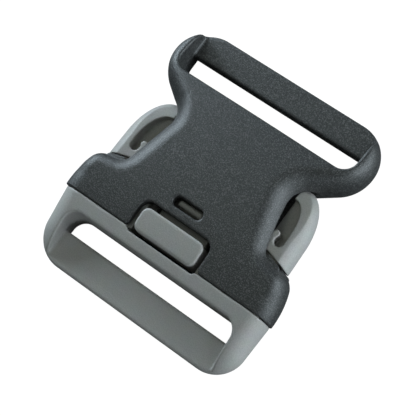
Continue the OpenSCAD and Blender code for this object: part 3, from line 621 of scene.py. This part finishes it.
# Materials
def plastic(name, colour, shades, turns, grain, bump, roughness, gloss):
    """Moulded plastic with a fine spark-eroded grain. Its colour times the two shades
    follows the grain's noise between the two turns: a random tone, and where the light
    shade lies far above one, light flecks that paint the grain's glints. The grain is the
    noise's scale."""
    mat = bpy.data.materials.new(name)
    mat.use_nodes = True
    nodes, links = mat.node_tree.nodes, mat.node_tree.links
    shader = nodes["Principled BSDF"]
    shader.inputs["Specular IOR Level"].default_value = gloss
    place = nodes.new("ShaderNodeTexCoord")
    fine = nodes.new("ShaderNodeTexNoise")
    fine.inputs["Scale"].default_value = grain
    fine.inputs["Detail"].default_value = 2.0
    fine.inputs["Roughness"].default_value = 0.6
    links.new(place.outputs["Object"], fine.inputs["Vector"])
    broad = nodes.new("ShaderNodeTexNoise")
    broad.inputs["Scale"].default_value = grain / 12
    broad.inputs["Detail"].default_value = 3.0
    links.new(place.outputs["Object"], broad.inputs["Vector"])
    # colour: a random tone, with painted glints as light flecks where the light shade is high
    ramp = nodes.new("ShaderNodeValToRGB")
    for stop, position, shade in zip(ramp.color_ramp.elements, turns, shades):
        stop.position = position
        stop.color = [c * shade for c in colour] + [1]
    links.new(fine.outputs["Fac"], ramp.inputs["Fac"])
    tint = nodes.new("ShaderNodeMixRGB")
    tint.blend_type = "MULTIPLY"
    tint.inputs["Fac"].default_value = 0.12
    links.new(ramp.outputs["Color"], tint.inputs["Color1"])
    links.new(broad.outputs["Color"], tint.inputs["Color2"])
    links.new(tint.outputs["Color"], shader.inputs["Base Color"])
    # roughness
    rough = nodes.new("ShaderNodeMapRange")
    rough.inputs["To Min"].default_value, rough.inputs["To Max"].default_value = roughness
    links.new(broad.outputs["Fac"], rough.inputs["Value"])
    links.new(rough.outputs["Result"], shader.inputs["Roughness"])
    # relief
    relief = nodes.new("ShaderNodeBump")
    relief.inputs["Strength"].default_value = bump
    relief.inputs["Distance"].default_value = 0.0001
    links.new(fine.outputs["Fac"], relief.inputs["Height"])
    links.new(relief.outputs["Normal"], shader.inputs["Normal"])
    return mat


# the charcoal's light shade, eight times its colour, paints the grain's glints as light flecks
# over its random tone
charcoal = plastic("charcoal_grain_painted_glints", (0.0185, 0.0185, 0.018), shades=(0.3, 8.0),
                   turns=(0.48, 0.74), grain=3200, bump=1.0, roughness=(0.50, 0.58),
                   gloss=0.98)
light_grey = plastic("light_grey_satin", (0.442, 0.425, 0.406), shades=(0.88, 1.12),
                     turns=(0.32, 0.68), grain=3600, bump=0.6, roughness=(0.46, 0.54),
                     gloss=0.5)

for obj, node, body, mat, slot in (
        (socket, "socket", "shell", charcoal, "charcoal"),
        (plug, "plug", "shell", light_grey, "light_grey"),
        (prong_left, "prong_left", "left_prong", light_grey, "light_grey"),
        (prong_right, "prong_right", "right_prong", light_grey, "light_grey"),
        (button, "button", "push_button", light_grey, "light_grey")):
    obj.data.materials.clear()
    obj.data.materials.append(mat)
    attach(obj, body)
    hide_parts(node)

# Floor, pale and slightly mottled
bpy.ops.mesh.primitive_grid_add(x_subdivisions=4, y_subdivisions=4, size=4)
floor = bpy.context.object
floor.name = "floor"
pale = bpy.data.materials.new("pale_floor")
pale.use_nodes = True
nodes, links = pale.node_tree.nodes, pale.node_tree.links
shade = nodes["Principled BSDF"]
mottle = nodes.new("ShaderNodeTexNoise")
mottle.inputs["Scale"].default_value = 30
tone = nodes.new("ShaderNodeMapRange")
tone.inputs["To Min"].default_value = 0.08
tone.inputs["To Max"].default_value = 0.10
links.new(mottle.outputs["Fac"], tone.inputs["Value"])
links.new(tone.outputs["Result"], shade.inputs["Base Color"])
shade.inputs["Roughness"].default_value = 0.9
shade.inputs["Specular IOR Level"].default_value = 0.1
shade.inputs["Emission Color"].default_value = (1, 1, 1, 1)
shade.inputs["Emission Strength"].default_value = 1.0
floor.data.materials.append(pale)
# its own glow lights the floor alone
glow = bpy.data.collections.new("floor_alone")
glow.objects.link(floor)
floor.light_linking.receiver_collection = glow


# Light
def lamp(name, azimuth, elevation, power, width, distance, colour):
    """A square soft light, turned to the buckle. Azimuth 0 stands towards +X, 90 towards
    +Y. Angles in degrees, power in watts, lengths in metres."""
    data = bpy.data.lights.new(name, "AREA")
    data.shape = "SQUARE"
    data.size = width
    data.energy = power
    data.color = colour
    obj = add_object(name, data)
    a, e = math.radians(azimuth), math.radians(elevation)
    back = Vector((math.cos(a) * math.cos(e), math.sin(a) * math.cos(e), math.sin(e)))
    obj.location = back * distance
    obj.rotation_euler = back.to_track_quat("Z", "Y").to_euler()


# the cool daylight of each side, and the warmer light from above
LEFT, RIGHT, ABOVE = (0.85, 1.0, 1.10), (0.87, 1.0, 1.07), (0.89, 1.0, 0.91)
# each soft light, as lamp takes it
LAMPS = [
    ("right", 15, 7, 2.2, 0.25, 0.6, RIGHT),
    ("right_back", 40, 9, 1.3, 0.25, 0.6, RIGHT),
    ("right_front", -35, 10, 0.6, 0.25, 0.6, RIGHT),
    ("right_high", 20, 42, 0.20, 0.25, 0.6, RIGHT),
    ("left", 165, 9, 0.55, 0.2, 0.45, LEFT),
    ("left_high", 165, 20, 1.0, 0.14, 0.45, LEFT),
    ("left_back", 135, 18, 0.56, 0.14, 0.45, LEFT),
    ("front", -80, 10, 0.15, 0.25, 0.6, LEFT),
    ("front_high", -80, 52, 0.08, 0.25, 0.6, ABOVE),
    ("top_right", 20, 70, 0.09, 0.25, 0.6, ABOVE),
    ("top_left", 175, 72, 0.31, 0.25, 0.6, ABOVE),
]
for row in LAMPS:
    lamp(*row)

world = bpy.data.worlds.new("studio")
bpy.context.scene.world = world
world.use_nodes = True
sky = world.node_tree.nodes["Background"]
sky.inputs["Color"].default_value = (0.95, 0.98, 1.0, 1)
sky.inputs["Strength"].default_value = 0.02

view = bpy.context.scene.view_settings
view.view_transform = "Standard"
view.look = "None"
view.exposure = 0.0
view.gamma = 1.0

# Camera, with its place in mm and its own axes
CAMERA_LENS = 112.695
CAMERA_PLACE = Vector((103.299, -45.393, 326.740))
CAMERA_RIGHT = Vector((0.79004662, 0.58804603, -0.1732865))
CAMERA_UP = Vector((-0.53408639, 0.79898739, 0.27635282))
CAMERA_BACK = Vector((0.3009619, -0.12578165, 0.94530467))
camera_data = bpy.data.cameras.new("camera")
camera_data.sensor_width = 36.0
camera_data.lens = CAMERA_LENS
camera_data.clip_start, camera_data.clip_end = 0.01, 10.0
turned = Matrix((CAMERA_RIGHT, CAMERA_UP, CAMERA_BACK)).transposed()
camera = add_object("camera", camera_data)
camera.matrix_world = Matrix.Translation(CAMERA_PLACE * MM) @ turned.to_4x4()
bpy.context.scene.camera = camera

bpy.context.view_layer.update()
